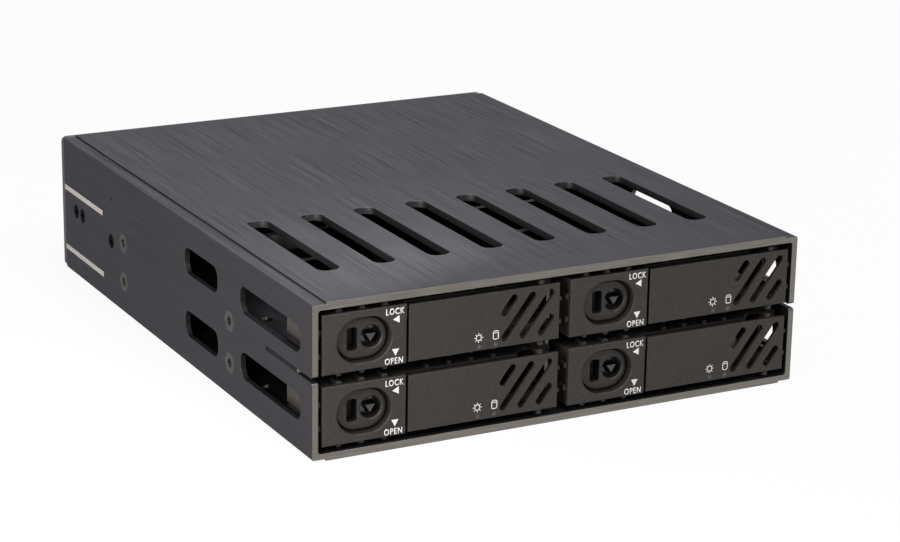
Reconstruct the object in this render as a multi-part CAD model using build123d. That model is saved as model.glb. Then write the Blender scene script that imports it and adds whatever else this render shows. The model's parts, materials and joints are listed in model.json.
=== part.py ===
from build123d import *
from math import atan2, degrees, hypot
import os

# Hot swap cage that holds four 2.5-inch drives in one 5.25-inch bay.
# Millimetres. X runs to the right, Y to the rear, Z up. The pieces are drawn from the middle
# of the sleeve's front edge at the bottom, and moved so that the origin is under their middle.

# Sleeve: one extruded aluminium tube, anodised before it is cut to length
sleeve_width = 146.0
sleeve_height = 42.4
sleeve_depth = 182.1
side_wall = 1.6
plate_wall = 2.0
ledge_width = 3.9
ledge_drop = 0.5
sleeve_edge_radius = 0.4
sleeve_inner_radius = 0.8
sheet = 1.0
fit = 0.1

# Room around a tray's front
front_above_floor = 1.6
front_below_shelf = 1.7
front_above_shelf = 0.4
front_below_roof = 1.5
front_side_gap = 1.15
tray_setback = 0.1

# Slots cut through the sleeve
top_vent_count = 8
top_vent_width = 6.4
top_vent_length = 49.4
top_vent_radius = 2.6
top_vent_front = 23.9
top_vent_margin = 13.275
side_vent_height = 7.6
side_vent_radius = 3.0
side_vent_front = 7.2
side_vent_before_hole = 7.5
side_vent_after_hole = 7.8
rear_side_vent_length = 23.5
side_vent_rises = {"lower": 8.7, "upper": 7.8}
shelf_slit_length = 29.0
shelf_slit_lip_radius = 0.9

# Fasteners in the side walls, at the places that a 5.25-inch device has them
bay_hole_front = 53.2
bay_hole_pitch = 79.25
bay_hole_heights = (9.93, 21.84)
bay_thread_radius = 1.25
insert_across_flats = 5.6
insert_keepout = 4.0
side_screw_head_radius = 2.2
side_screw_radius = 1.2
side_screw_cone = 1.1
side_screw_length = 3.2
side_screw_cross_length = 2.6
side_screw_cross_width = 0.5
side_screw_cross_depth = 0.5
shelf_screw_inset = 4.7
shelf_screw_drop = 1.7
panel_screw_insets = (15.4, 9.9)
panel_screw_drop = 4.8
witness_hole_inset = 40.0
witness_hole_rise = 10.0
witness_hole_radius = 0.6

# Shelf between the two rows of bays, and the walls between left and right
shelf_front_gap = 0.4
shelf_rear_inset = 35.1
bracket_height = 4.4
bracket_length = 10.0
bracket_foot = 6.0
shelf_vent_width = 8.0
shelf_vent_length = 44.0
shelf_vent_radius = 3.9
shelf_vent_pitch = 15.0
shelf_vent_columns = 4
shelf_vent_first = 22.0
shelf_vent_bar = 14.0
shelf_vent_rows = 2
divider_tongue_length = 10.0
upper_tongue_front = 18.8
upper_tongue_rear = 24.9
lower_tongue_front = 50.8
lower_tongue_rear = 0.9

# Runners that carry the trays
runner_width = 2.6
runner_setback = 12.0
slide_gap = 0.1

# A tray's sheet, with its windows
chassis_sheet = 0.8
chassis_top = 1.9
chassis_side_gap = 0.25
chassis_front = 8.8
chassis_rear_gap = 2.2
chassis_corner = 3.0
window_length = 17.3
window_radius = 1.2
window_width = 13.0
narrow_window_width = 7.0
window_bar = 2.5
rear_window_inset = 16.2
front_window_inset = 43.2

# A tray's moulded front: the lock plate at its left, and the frame behind it
lock_plate_width = 23.8
lock_plate_thickness = 3.4
plate_edge_radius = 0.4
bezel_rear = 21.5
bezel_wall = 1.2
groove_height = 0.9
groove_depth = 0.5
groove_bottom = 4.6
air_cut_rear = 10.8
air_cut_drop = 2.4
spring_wall_front = 16.0
spring_wall = 1.2

# Drive that a tray takes: where it begins, and its four bottom holes
drive_front = 32.8
drive_hole_offset = 30.86
drive_hole_front = 9.6
drive_hole_pitch = 76.6
drive_hole_radius = 1.75

# Small ribs and pegs round a tray's front, which keep it clear of its bay
rib_pitch = 6.5
rib_first = 5.1
rib_height = 0.9
plate_rib_width = 1.8
plate_rib_tip = 1.1
plate_rib_front = 1.0
plate_rib_rear = 4.5
peg_width = 1.1
peg_front = 2.8
peg_rear = 4.6
lever_peg_front = 0.4
lever_peg_reach = 0.7
side_rib_offset = 3.15

# Lever: a thin flap with a stiffening rim, vents, hinge bosses and two lamp lenses
lever_gap = 0.6
lever_margin = 0.35
lever_wall = 1.0
lever_thickness = 2.4
lever_seat_gap = 0.2
lever_rim = 1.0
lever_rim_inset = 0.7
lever_edge_radius = 0.25
hinge_from_right = 5.05
hinge_depth = 1.3
hinge_pin_radius = 0.45
hinge_clearance = 0.06
hinge_boss = 1.3
hinge_boss_end = 1.0
hinge_end_gap = 0.2
hinge_ear_width = 1.8
hinge_ear_height = 1.1
upper_pin_engagement = 3.2
lower_pin_engagement = 1.2
sweep_clearance = 0.25
vent_width = 2.1
vent_pitch = 5.45
vent_first = 5.4
vent_lean = 8.1
vent_low = 2.5
vent_high = 2.4
short_vent_rise = 3.6
lens_first = 19.0
lens_pitch = 4.8
lens_height = 1.1
lens_radius = 0.55
lens_wall = 0.6
tongue_length = 6.0
tongue_depth = 2.6
tongue_thickness = 1.5

# Push button in its round-ended recess
recess_margin = 1.6
recess_mouth_radius = 0.45
ring_gap = 0.55
ring_depth = 2.8
button_width = 14.2
button_depth = 2.0
button_gap = 0.15
button_flange = 0.6
button_flange_thickness = 1.0
flange_gap = 0.2
button_edge_radius = 0.4
grip_inset = 4.4
grip_width = 3.0
grip_height = 6.2
grip_depth = 3.2
grip_corner = 0.8
grip_wall = 0.7

# Lock core inside the button, with its key post and its cam
core_inset = 4.35
core_radius = 2.93
core_bore_radius = 3.0
core_recess = 3.0
core_mouth = 0.3
core_barrel_radius = 4.0
core_barrel_rear = 9.0
core_barrel_gap = 0.4
core_cam_gap = 0.35
core_cam_width = 2.4
core_cam_thickness = 1.0
post_width = 4.0
post_drop = 3.0
post_tip_scale = 0.7
post_rise = 2.6

# Leaf spring that returns the button
spring_sheet = 0.35
spring_height = 5.0
spring_inset = 0.6
spring_foot = 3.2
spring_bow = 2.2

# Screws that hold a tray's sheet to its moulded front
tray_screw_offset = 24.0
tray_screw_place = 15.0
tray_screw_radius = 0.9
tray_screw_head_radius = 1.8
tray_screw_cone = 0.8
tray_screw_length = 1.9

# Boards at the rear, with what is soldered on them
board_thickness = 1.6
board_above_chassis = 1.1
board_depth = 43.1
board_tab_behind_hole = 16.85
connector_inset = 2.45
connector_width = 44.0
connector_height = 4.6
connector_depth = 10.4
connector_lap = 5.1
connector_rise = 1.2
receptacle_width = 33.4
receptacle_height = 2.4
receptacle_depth = 6.0
receptacle_tongue = 1.0
receptacle_setback = 1.0
data_socket_width = 14.6
power_socket_width = 25.0
socket_depth = 14.0
socket_height = 6.2
socket_wall = 1.1
socket_cavity_depth = 9.0
data_socket_inset = 21.4
data_socket_pitch = 23.0
data_socket_count = 2
power_socket_inset = 39.4
capacitor_radius = 3.0
capacitor_height = 6.5
capacitor_rim = 0.4
capacitor_first = 4.0
capacitor_pitch = 8.5
capacitor_count = 2
capacitor_inset = 24.1

# Rear panel
panel_thickness = 2.2
panel_corner_radius = 1.6
panel_socket_gap = 0.2
panel_slot_width = 3.0
panel_slot_height = 9.0
panel_slot_radius = 1.4
panel_slot_pitch = 6.0
panel_slot_count = 4
panel_slot_first = -8.0
panel_flange_thickness = 1.4
panel_flange_depth = 22.1
panel_flange_gap = 1.4

# Modelling allowances: how far joined pieces sink into each other, how far a cut runs past
# the surface that it opens, and how near two places are when they count as one
bite = 0.2
past = 1.0
tiny = 0.01

# Places across the cage
half_width = sleeve_width / 2
inner_half = half_width - side_wall
divider_half = sheet / 2
bay_half = (inner_half - divider_half) / 2
bay_centre = divider_half + bay_half
chassis_half = bay_half - chassis_side_gap
half_front = bay_half - front_side_gap
front_width = 2 * half_front
columns = {"left": -bay_centre, "right": bay_centre}

# Places up the cage
inner_floor = plate_wall
inner_roof = sleeve_height - plate_wall
front_room = front_above_floor + front_below_shelf + front_above_shelf + front_below_roof
front_height = (inner_roof - inner_floor - sheet - front_room) / 2
lower_front_bottom = inner_floor + front_above_floor
shelf_bottom = lower_front_bottom + front_height + front_below_shelf
shelf_top = shelf_bottom + sheet
upper_front_bottom = shelf_top + front_above_shelf
chassis_bottom = chassis_top - chassis_sheet
rows = {"lower": lower_front_bottom, "upper": upper_front_bottom}

# Places along the cage
board_front = sleeve_depth - board_depth
connector_rear = board_front + connector_lap
connector_front = connector_rear - connector_depth
overall_length = sleeve_depth + panel_thickness
origin_shift = -overall_length / 2
shelf_front = chassis_front + shelf_front_gap
shelf_rear = sleeve_depth - shelf_rear_inset
divider_rear = board_front - fit
runner_rear = board_front - runner_setback
chassis_rear = connector_front - chassis_rear_gap
bezel_front = lever_thickness + lever_seat_gap
frame_step = chassis_front - bezel_wall
bay_hole_rear = bay_hole_front + bay_hole_pitch
board_tab_front = bay_hole_rear + board_tab_behind_hole
upper_tongues = (
    shelf_front + upper_tongue_front,
    divider_rear - upper_tongue_rear - divider_tongue_length,
)
lower_tongues = (
    shelf_front + lower_tongue_front,
    divider_rear - lower_tongue_rear - divider_tongue_length,
)

# Places on a tray's front, from the middle of its lower edge
front_middle = front_height / 2
plate_right = lock_plate_width - half_front
plate_middle = plate_right - lock_plate_width / 2
lever_left = plate_right + lever_gap
lever_bottom = lever_margin
lever_top = front_height - lever_margin
vent_rise = lever_top - lever_bottom - vent_low - vent_high
hinge_x = half_front - hinge_from_right
ear_bottom = front_height - bite
ear_top = ear_bottom + hinge_ear_height
ring_height = front_height - 2 * recess_margin - 2 * recess_mouth_radius
ring_width = button_width + 2 * ring_gap
button_height = ring_height - 2 * ring_gap
grip_x = plate_middle - button_width / 2 + grip_inset
core_x = plate_middle + button_width / 2 - core_inset
flange_front = lock_plate_thickness + flange_gap
flange_rear = flange_front + button_flange_thickness
core_cam_reach = front_middle - chassis_top - bezel_wall - core_cam_gap
lock_left = bezel_wall - half_front
lock_right = plate_right - bezel_wall
lens_places = (half_front - lens_first - lens_pitch, half_front - lens_first)


def block(x0, x1, y0, y1, z0, z1):
    """A box between two corners."""
    size = (x1 - x0, y1 - y0, z1 - z0)
    return Pos((x0 + x1) / 2, (y0 + y1) / 2, (z0 + z1) / 2) * Box(*size)


def front_prism(sketch, y0, y1):
    """A sketch drawn as seen from the front, run from y0 back to y1."""
    plane = Plane(origin=(0, y0, 0), x_dir=(1, 0, 0), z_dir=(0, -1, 0))
    return extrude(plane * sketch, amount=-(y1 - y0))


def side_prism(sketch, x0, x1):
    """A sketch drawn with Y across and Z up, run from x0 to x1."""
    plane = Plane(origin=(x0, 0, 0), x_dir=(0, 1, 0), z_dir=(1, 0, 0))
    return extrude(plane * sketch, amount=x1 - x0)


def flat_prism(sketch, z0, z1):
    """A sketch drawn in plan, run from z0 up to z1."""
    return extrude(Plane.XY.offset(z0) * sketch, amount=z1 - z0)


def front_cylinder(x, z, radius, y0, y1):
    """A cylinder along Y."""
    return front_prism(Pos(x, z) * Circle(radius), y0, y1)


def upright_cylinder(x, y, radius, z0, z1):
    """A cylinder along Z."""
    return flat_prism(Pos(x, y) * Circle(radius), z0, z1)


def mirrored(shape):
    """A shape and its mirror image across the middle plane."""
    return [shape, mirror(shape, Plane.YZ)]


def front_edges(shape, y):
    """A shape's edges in the upright plane at y."""
    return shape.edges().filter_by(lambda edge: abs(edge.center().Y - y) < tiny)


def save(node, solids):
    """Write one node, in the frame whose origin is under the middle of the cage."""
    if not isinstance(solids, list):
        solids = [solids]
    moved = [Pos(0, origin_shift, 0) * solid for solid in solids]
    shape = moved[0] if len(moved) == 1 else Compound(children=moved)
    export_step(shape, f"parts/{node}.step")


def sleeve_section():
    """The extrusion's section: a tube whose four long edges are low ledges."""
    core = Rectangle(sleeve_width, sleeve_height - 2 * ledge_drop)
    plates = Rectangle(sleeve_width - 2 * ledge_width, sleeve_height)
    outer = core + plates
    corners = outer.vertices().filter_by(lambda vertex: abs(vertex.X) > half_width - tiny)
    outer = fillet(corners, sleeve_edge_radius)
    inner = RectangleRounded(2 * inner_half, inner_roof - inner_floor, sleeve_inner_radius)
    return Pos(0, sleeve_height / 2) * (outer - inner)


def side_screw(y, z):
    """A countersunk screw whose flat head is flush with the right-hand wall."""
    base = Plane(origin=(half_width, y, z), z_dir=(-1, 0, 0))
    head = loft([
        base * Circle(side_screw_head_radius),
        base.offset(side_screw_cone) * Circle(side_screw_radius),
    ])
    shank = extrude(base * Circle(side_screw_radius), amount=side_screw_length)
    return head + shank


def side_cut(sketch, y, z):
    """A cut of a sketch through both side walls."""
    return side_prism(Pos(y, z) * sketch, -half_width - past, half_width + past)


def insert_sketch():
    """The hexagon of a flush insert."""
    return RegularPolygon(insert_across_flats / 2, 6, major_radius=False, rotation=0)


def bay_hole_places():
    """Where the fasteners of the bay go in."""
    return [(y, z) for y in (bay_hole_front, bay_hole_rear) for z in bay_hole_heights]


def board_bottom(row):
    """Underside of the board behind a row of trays."""
    return rows[row] + chassis_top + board_above_chassis


def board_top(row):
    """Face of the board that its sockets lie on."""
    return board_bottom(row) + board_thickness


def shelf_screw_place():
    """Where the screw of a shelf bracket goes in."""
    return shelf_rear - shelf_screw_inset, shelf_bottom - shelf_screw_drop


def panel_screw_places():
    """Where the screws of the rear panel's flanges go in."""
    height = board_bottom("upper") - panel_screw_drop
    return [(sleeve_depth - inset, height) for inset in panel_screw_insets]


def make_top_vents():
    """The row of slots through the sleeve's top plate."""
    vent = RectangleRounded(top_vent_width, top_vent_length, top_vent_radius)
    first = top_vent_margin + top_vent_width / 2 - half_width
    pitch = -2 * first / (top_vent_count - 1)
    middle = top_vent_front + top_vent_length / 2
    return [
        flat_prism(Pos(first + index * pitch, middle) * vent, inner_roof - past,
                   sleeve_height + past)
        for index in range(top_vent_count)
    ]


def make_side_vents():
    """Two slots through each side wall at each row, before and after the front fasteners."""
    rear_front = bay_hole_front + side_vent_after_hole
    spans = (
        (side_vent_front, bay_hole_front - side_vent_before_hole),
        (rear_front, rear_front + rear_side_vent_length),
    )
    vents = []
    for front, rear in spans:
        vent = RectangleRounded(rear - front, side_vent_height, side_vent_radius)
        for row, rise in side_vent_rises.items():
            vents.append(side_cut(vent, (front + rear) / 2, rows[row] + rise))
    return vents


def make_sleeve():
    sleeve = front_prism(sleeve_section(), 0, sleeve_depth)
    for vent in make_top_vents() + make_side_vents():
        sleeve -= vent
    slit_middle = shelf_bottom + sheet / 2
    slit = Rectangle(2 * shelf_slit_length, sheet + 2 * fit)
    sleeve -= side_cut(slit, 0, slit_middle)
    lips = front_edges(sleeve, 0).filter_by(Axis.X).filter_by(
        lambda edge: abs(edge.center().Z - slit_middle) < sheet and edge.length < 2 * side_wall
    )
    sleeve = fillet(lips, shelf_slit_lip_radius)
    for row in rows:
        slot = block(
            -half_width - past, half_width + past, board_tab_front - fit, sleeve_depth + past,
            board_bottom(row), board_top(row) + fit,
        )
        sleeve -= slot - board_bridge()
    for y, z in bay_hole_places():
        sleeve -= side_cut(insert_sketch(), y, z)
    for y, z in [shelf_screw_place()] + panel_screw_places():
        for screw in mirrored(side_screw(y, z)):
            sleeve -= screw
    witness = Circle(witness_hole_radius)
    sleeve -= side_cut(
        witness, sleeve_depth - witness_hole_inset, rows["upper"] + witness_hole_rise
    )
    return sleeve


def board_bridge():
    """The room between the side walls, where a board needs no slot."""
    return block(-inner_half, inner_half, 0, sleeve_depth, inner_floor, inner_roof)


def make_inserts():
    insert = insert_sketch() - Circle(bay_thread_radius)
    inserts = []
    for y, z in bay_hole_places():
        inserts += mirrored(side_prism(Pos(y, z) * insert, inner_half, half_width))
    return inserts


def make_side_screws():
    screws = []
    slot = Rectangle(side_screw_cross_length, side_screw_cross_width)
    cross = slot + Rot(0, 0, 90) * slot
    for y, z in [shelf_screw_place()] + panel_screw_places():
        recess = side_prism(
            Pos(y, z) * cross, half_width - side_screw_cross_depth, half_width + past
        )
        screws += mirrored(side_screw(y, z) - recess)
    return screws


def tongue_sketches(places, clearance):
    """Outlines in plan of a divider's tongues, or of their slots where there is clearance."""
    outline = Rectangle(sheet + 2 * clearance, divider_tongue_length + 2 * clearance)
    return [Pos(0, y + divider_tongue_length / 2) * outline for y in places]


def insert_notch(y, z0, z1):
    """Room behind an insert for the end of its screw."""
    half = insert_keepout
    return block(
        inner_half - half, half_width + past, y - half, y + half, z0 - past, z1 + past
    )


def make_shelf():
    inner = inner_half - fit
    shelf = block(-inner, inner, shelf_front, shelf_rear, shelf_bottom, shelf_top)
    shelf += block(
        -half_width, half_width, shelf_front, shelf_slit_length - fit, shelf_bottom, shelf_top
    )
    vent = RectangleRounded(shelf_vent_width, shelf_vent_length, shelf_vent_radius)
    openings = tongue_sketches(upper_tongues + lower_tongues, fit)
    for column in columns.values():
        for across in range(shelf_vent_columns):
            x = column + (across - (shelf_vent_columns - 1) / 2) * shelf_vent_pitch
            for back in range(shelf_vent_rows):
                front = shelf_vent_first + back * (shelf_vent_length + shelf_vent_bar)
                openings.append(Pos(x, front + shelf_vent_length / 2) * vent)
    for opening in openings:
        shelf -= flat_prism(opening, shelf_bottom - past, shelf_top + past)
    for y in (bay_hole_front, bay_hole_rear):
        for notch in mirrored(insert_notch(y, shelf_bottom, shelf_top)):
            shelf -= notch
    return shelf


def make_shelf_brackets():
    """Angles under the shelf's rear corners, which the side screws go into."""
    inner = inner_half - fit
    front = shelf_rear - bracket_length
    bracket = block(
        inner - sheet, inner, front, shelf_rear, shelf_bottom - bracket_height, shelf_bottom
    )
    bracket += block(
        inner - bracket_foot, inner, front, shelf_rear, shelf_bottom - sheet, shelf_bottom
    )
    bracket -= side_screw(*shelf_screw_place())
    return mirrored(bracket)


def make_divider(bottom, top, tongues, tongue_bottom, tongue_top):
    divider = block(-divider_half, divider_half, shelf_front, divider_rear, bottom, top)
    for outline in tongue_sketches(tongues, 0):
        divider += flat_prism(outline, tongue_bottom, tongue_top)
    return divider


def make_runners(row, bottom):
    """Two strips in each bay, against the wall and against the divider."""
    top = rows[row] + chassis_bottom - slide_gap
    outer = block(inner_half - runner_width, inner_half, shelf_front, runner_rear, bottom, top)
    corner = outer.edges().filter_by(Axis.Y).group_by(Axis.Z)[0].sort_by(Axis.X)[-1]
    outer = chamfer(corner, sleeve_inner_radius)
    if row == "upper":
        for y in (bay_hole_front, bay_hole_rear):
            outer -= insert_notch(y, bottom, top)
    inner = block(
        divider_half, divider_half + runner_width, shelf_front, runner_rear, bottom, top
    )
    return mirrored(outer) + mirrored(inner)


def stadium(width, height):
    """An outline round the button's middle, with two straight sides and two round ends."""
    return Pos(plate_middle, front_middle) * SlotOverall(width, height)


def rib_positions():
    """Where the ribs stand, from the middle of the front; one is left out at the gap."""
    count = int((front_width - rib_first) / rib_pitch) + 1
    gap_middle = plate_right + lever_gap / 2
    places = [rib_first + index * rib_pitch - half_front for index in range(count)]
    return [place for place in places if abs(place - gap_middle) > rib_pitch / 2]


def plate_rib():
    """Section of a rib on the lock plate: a low trapezoid, standing on its long side."""
    foot = plate_rib_width / 2
    tip = plate_rib_tip / 2
    return make_face(Polyline(
        (-foot, -bite), (-foot, 0), (-tip, rib_height), (tip, rib_height), (foot, 0),
        (foot, -bite), close=True,
    ))


def make_plate_ribs():
    """Short ribs on three edges of the lock plate."""
    places = [Pos(-half_front, front_middle + side) * Rot(0, 0, 90)
              for side in (-side_rib_offset, side_rib_offset)]
    for x in rib_positions():
        if x < plate_right:
            places.append(Pos(x, front_height))
            places.append(Pos(x, 0) * Rot(0, 0, 180))
    return [front_prism(place * plate_rib(), plate_rib_front, plate_rib_rear) for place in places]


def make_frame_pegs():
    """Small pegs on the frame, over and under the lever, but for the place of the hinge."""
    pegs = []
    for x in rib_positions():
        if x > plate_right and abs(x - hinge_x) > hinge_reach() + peg_width / 2:
            peg = Pos(x, front_middle) * Rectangle(peg_width, front_height + 2 * rib_height)
            gap = Pos(x, front_middle) * Rectangle(peg_width, front_height - 2 * bite)
            pegs.append(front_prism(peg - gap, peg_front, peg_rear))
    return pegs


def hinge_reach():
    """How far from its pins the lever's right-hand end reaches as it turns."""
    heel = half_front + lever_peg_reach - hinge_x
    depth = max(hinge_depth, lever_thickness - hinge_depth)
    return hypot(heel, depth) + sweep_clearance


def hinge_ear(z0, z1):
    """An arm over or under the lever, whose round end holds a hinge pin."""
    arm = Pos(hinge_x, (hinge_depth + chassis_front) / 2) * Rectangle(
        hinge_ear_width, chassis_front - hinge_depth
    )
    end = Pos(hinge_x, hinge_depth) * Circle(hinge_ear_width / 2)
    return flat_prism(arm + end, z0, z1)


def make_lock_plate():
    """The plate at the left, with the rounded mouth of the button's recess."""
    plate = block(-half_front, plate_right, 0, bezel_front + past, 0, front_height)
    plate = fillet(front_edges(plate, 0), plate_edge_radius)
    plate += block(
        lock_left - bite, lock_right + bite, bezel_front, lock_plate_thickness,
        bezel_wall - bite, front_height - bezel_wall + bite,
    )
    plate -= front_prism(stadium(ring_width, ring_height), -past, ring_depth)
    mouth = front_edges(plate, 0).filter_by(
        lambda edge: abs(edge.center().X - plate_middle) < ring_width / 2 + tiny
        and abs(edge.center().Z - front_middle) < ring_height / 2 + tiny
    )
    plate = fillet(mouth, recess_mouth_radius)
    opening = stadium(button_width + 2 * button_gap, button_height + 2 * button_gap)
    return plate - front_prism(opening, -past, lock_plate_thickness + past)


def make_bezel():
    """The moulded front of a tray, drawn from the middle of its lower front edge."""
    roof = front_height - bezel_wall
    floor = chassis_top + bezel_wall
    air_right = half_front - bezel_wall
    bezel = block(-half_front, half_front, bezel_front, chassis_front, 0, front_height)
    bezel += block(-half_front, half_front, bezel_front, bezel_rear, chassis_top, front_height)
    bezel -= block(plate_right, air_right, bezel_front - past, frame_step, bezel_wall, roof)
    bezel -= block(plate_right, air_right, frame_step - past, bezel_rear + past, floor, roof)
    bezel -= block(lock_left, lock_right, bezel_front - past, frame_step, bezel_wall, roof)
    bezel -= block(lock_left, lock_right, frame_step - past, bezel_rear + past, floor, roof)
    bezel += make_lock_plate()
    bezel += block(
        lock_left - bite, lock_right + bite,
        spring_wall_front, spring_wall_front + spring_wall,
        floor - bite, roof + bite,
    )
    bezel -= front_cylinder(
        core_x, front_middle, core_barrel_radius + core_barrel_gap, flange_front,
        spring_wall_front,
    )
    bezel -= upright_cylinder(
        hinge_x, hinge_depth, hinge_reach(), -2 * hinge_ear_height, 2 * front_height
    )
    bezel -= block(
        air_right - past, half_front + past, bezel_front - past, air_cut_rear,
        floor + bezel_wall, roof - air_cut_drop,
    )
    for rib in make_plate_ribs() + make_frame_pegs():
        bezel += rib
    bezel += hinge_ear(ear_bottom, ear_top)
    bezel += hinge_ear(front_height - ear_top, front_height - ear_bottom)
    bezel -= upright_cylinder(
        hinge_x, hinge_depth, hinge_pin_radius, -2 * hinge_ear_height, 2 * front_height
    )
    groove_top = groove_bottom + groove_height
    for side in (-1, 1):
        inner = side * (half_front - groove_depth)
        outer = side * (half_front + past)
        bezel -= block(
            min(inner, outer), max(inner, outer), bezel_front + past, bezel_rear + past,
            groove_bottom, groove_top,
        )
    for x in (-tray_screw_offset, tray_screw_offset):
        bezel -= upright_cylinder(
            x, tray_screw_place, tray_screw_radius, chassis_top - past, floor + past
        )
    return bezel


def vent_sketches():
    """Four leaning slots from the right to the left, the outer two of them shorter."""
    spans = (
        (0, short_vent_rise),
        (0, vent_rise),
        (0, vent_rise),
        (vent_rise - short_vent_rise, vent_rise),
    )
    turn = degrees(atan2(vent_rise, vent_lean))
    slope = vent_lean / vent_rise
    vents = []
    for index, (low, high) in enumerate(spans):
        foot_x = half_front - vent_first - index * vent_pitch
        middle = (low + high) / 2
        length = (high - low) * hypot(vent_lean, vent_rise) / vent_rise
        place = Pos(foot_x + slope * middle, lever_bottom + vent_low + middle)
        vents.append(place * Rot(0, 0, turn) * SlotCenterToCenter(length, vent_width))
    return vents


def make_lever_shell():
    """The lever's thin face with the stiffening rim behind it."""
    face = block(lever_left, half_front, 0, lever_wall, lever_bottom, lever_top)
    face = fillet(front_edges(face, 0), lever_edge_radius)
    outer = lever_rim_inset
    inner = lever_rim_inset + lever_rim
    rim = block(
        lever_left + outer, half_front - outer, lever_wall - bite, lever_thickness,
        lever_bottom + outer, lever_top - outer,
    )
    rim -= block(
        lever_left + inner, half_front - inner, 0, lever_thickness + past,
        lever_bottom + inner, lever_top - inner,
    )
    return face + rim


def make_lever_bosses():
    """Solid places round the hinge pins and the lamp lenses."""
    half = hinge_boss
    bosses = [
        block(
            hinge_x - half, hinge_x + half, lever_wall - bite, lever_thickness,
            lever_top - upper_pin_engagement - hinge_boss_end, lever_top,
        ),
        block(
            hinge_x - half, hinge_x + half, lever_wall - bite, lever_thickness,
            lever_bottom, lever_bottom + lower_pin_engagement + hinge_boss_end,
        ),
    ]
    half = lens_radius + lens_wall
    for x in lens_places:
        bosses.append(block(
            x - half, x + half, lever_wall - bite, lever_thickness,
            lever_bottom, lever_bottom + lens_height + half,
        ))
    return bosses


def make_lever():
    """The flap over the right part of the front, with its vents, pin holes and catch tongue."""
    lever = make_lever_shell()
    for boss in make_lever_bosses():
        lever += boss
    for vent in vent_sketches():
        lever -= front_prism(vent, -past, lever_thickness + past)
    hole = hinge_pin_radius + hinge_clearance
    lever -= upright_cylinder(
        hinge_x, hinge_depth, hole,
        lever_top - upper_pin_engagement - hinge_end_gap, lever_top + past,
    )
    lever -= upright_cylinder(
        hinge_x, hinge_depth, hole,
        lever_bottom - past, lever_bottom + lower_pin_engagement + hinge_end_gap,
    )
    for x in lens_places:
        lever -= front_cylinder(
            x, lever_bottom + lens_height, lens_radius, -past, lever_thickness + past
        )
    lever += block(
        lever_left, lever_left + tongue_thickness,
        lever_wall - bite, lever_thickness + tongue_depth,
        front_middle - tongue_length / 2, front_middle + tongue_length / 2,
    )
    for side in (-side_rib_offset, side_rib_offset):
        middle = front_middle + side
        lever += block(
            half_front - lever_rim_inset - bite, half_front + lever_peg_reach,
            lever_peg_front, lever_peg_front + peg_width,
            middle - peg_width / 2, middle + peg_width / 2,
        )
    return lever


def make_lever_pins():
    top = upright_cylinder(
        hinge_x, hinge_depth, hinge_pin_radius, lever_top - upper_pin_engagement, ear_top
    )
    bottom = upright_cylinder(
        hinge_x, hinge_depth, hinge_pin_radius,
        front_height - ear_top, lever_bottom + lower_pin_engagement,
    )
    return [top, bottom]


def make_lenses():
    height = lever_bottom + lens_height
    return [front_cylinder(x, height, lens_radius, 0, lever_thickness) for x in lens_places]


def make_grip():
    """The grip slot that is sunk into the button, and the pocket round it."""
    place = Pos(grip_x, front_middle)
    hollow = RectangleRounded(grip_width, grip_height, grip_corner)
    pocket = RectangleRounded(
        grip_width + 2 * grip_wall, grip_height + 2 * grip_wall, grip_corner + grip_wall
    )
    bottom = button_depth + grip_depth
    return (
        front_prism(place * hollow, button_depth - past, bottom),
        front_prism(place * pocket, flange_front, bottom + grip_wall),
    )


def make_button():
    """The oval push button, with its grip slot and the bore of the lock core."""
    button = front_prism(stadium(button_width, button_height), button_depth, flange_rear)
    button = fillet(front_edges(button, button_depth), button_edge_radius)
    rim = stadium(button_width + 2 * button_flange, button_height + 2 * button_flange)
    button += front_prism(rim, flange_front, flange_rear)
    button += front_cylinder(
        core_x, front_middle, core_barrel_radius, flange_front, core_barrel_rear
    )
    hollow, pocket = make_grip()
    button += pocket
    button -= front_cylinder(core_x, front_middle, core_bore_radius, 0, core_barrel_rear + past)
    mouth = front_edges(button, button_depth).filter_by(GeomType.CIRCLE).filter_by(
        lambda edge: abs(edge.radius - core_bore_radius) < tiny
    )
    return chamfer(mouth, core_mouth) - hollow


def core_face(sketch, y):
    """A sketch over the lock core's axis, standing at depth y."""
    plane = Plane(origin=(0, y, 0), x_dir=(1, 0, 0), z_dir=(0, -1, 0))
    return plane * Pos(core_x, front_middle) * sketch


def make_core():
    """The lock core, with a three-sided post for its key and a cam at its rear."""
    face = button_depth + core_recess
    cam_front = core_barrel_rear + fit
    cam_rear = cam_front + core_cam_thickness
    core = front_cylinder(core_x, front_middle, core_radius, face, cam_rear)
    half = post_width / 2
    rise = post_drop / 3
    post = make_face(Polyline((-half, rise), (half, rise), (0, rise - post_drop), close=True))
    core += loft([
        core_face(post, face),
        core_face(scale(post, post_tip_scale), face - post_rise),
    ])
    cam = Pos(core_x, front_middle - core_cam_reach / 2) * Rectangle(
        core_cam_width, core_cam_reach
    )
    return core + front_prism(cam, cam_front, cam_rear)


def make_button_spring():
    """A bowed leaf between the button's flange and the wall behind it."""
    front = flange_rear + spring_sheet / 2
    rear = spring_wall_front - spring_sheet / 2
    left = lock_left + spring_inset
    bend = left + spring_foot
    foot = Line((left, rear), (bend, rear))
    bow = ThreePointArc((bend, rear), (bend + spring_bow, (front + rear) / 2), (bend, front))
    strip = trace(foot + bow, spring_sheet)
    low = front_middle - spring_height / 2
    return flat_prism(strip, low, low + spring_height)


def drive_holes():
    """Places of the four holes that a drive is screwed down through."""
    front = drive_front + drive_hole_front
    return [
        (x, y)
        for x in (-drive_hole_offset, drive_hole_offset)
        for y in (front, front + drive_hole_pitch)
    ]


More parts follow.
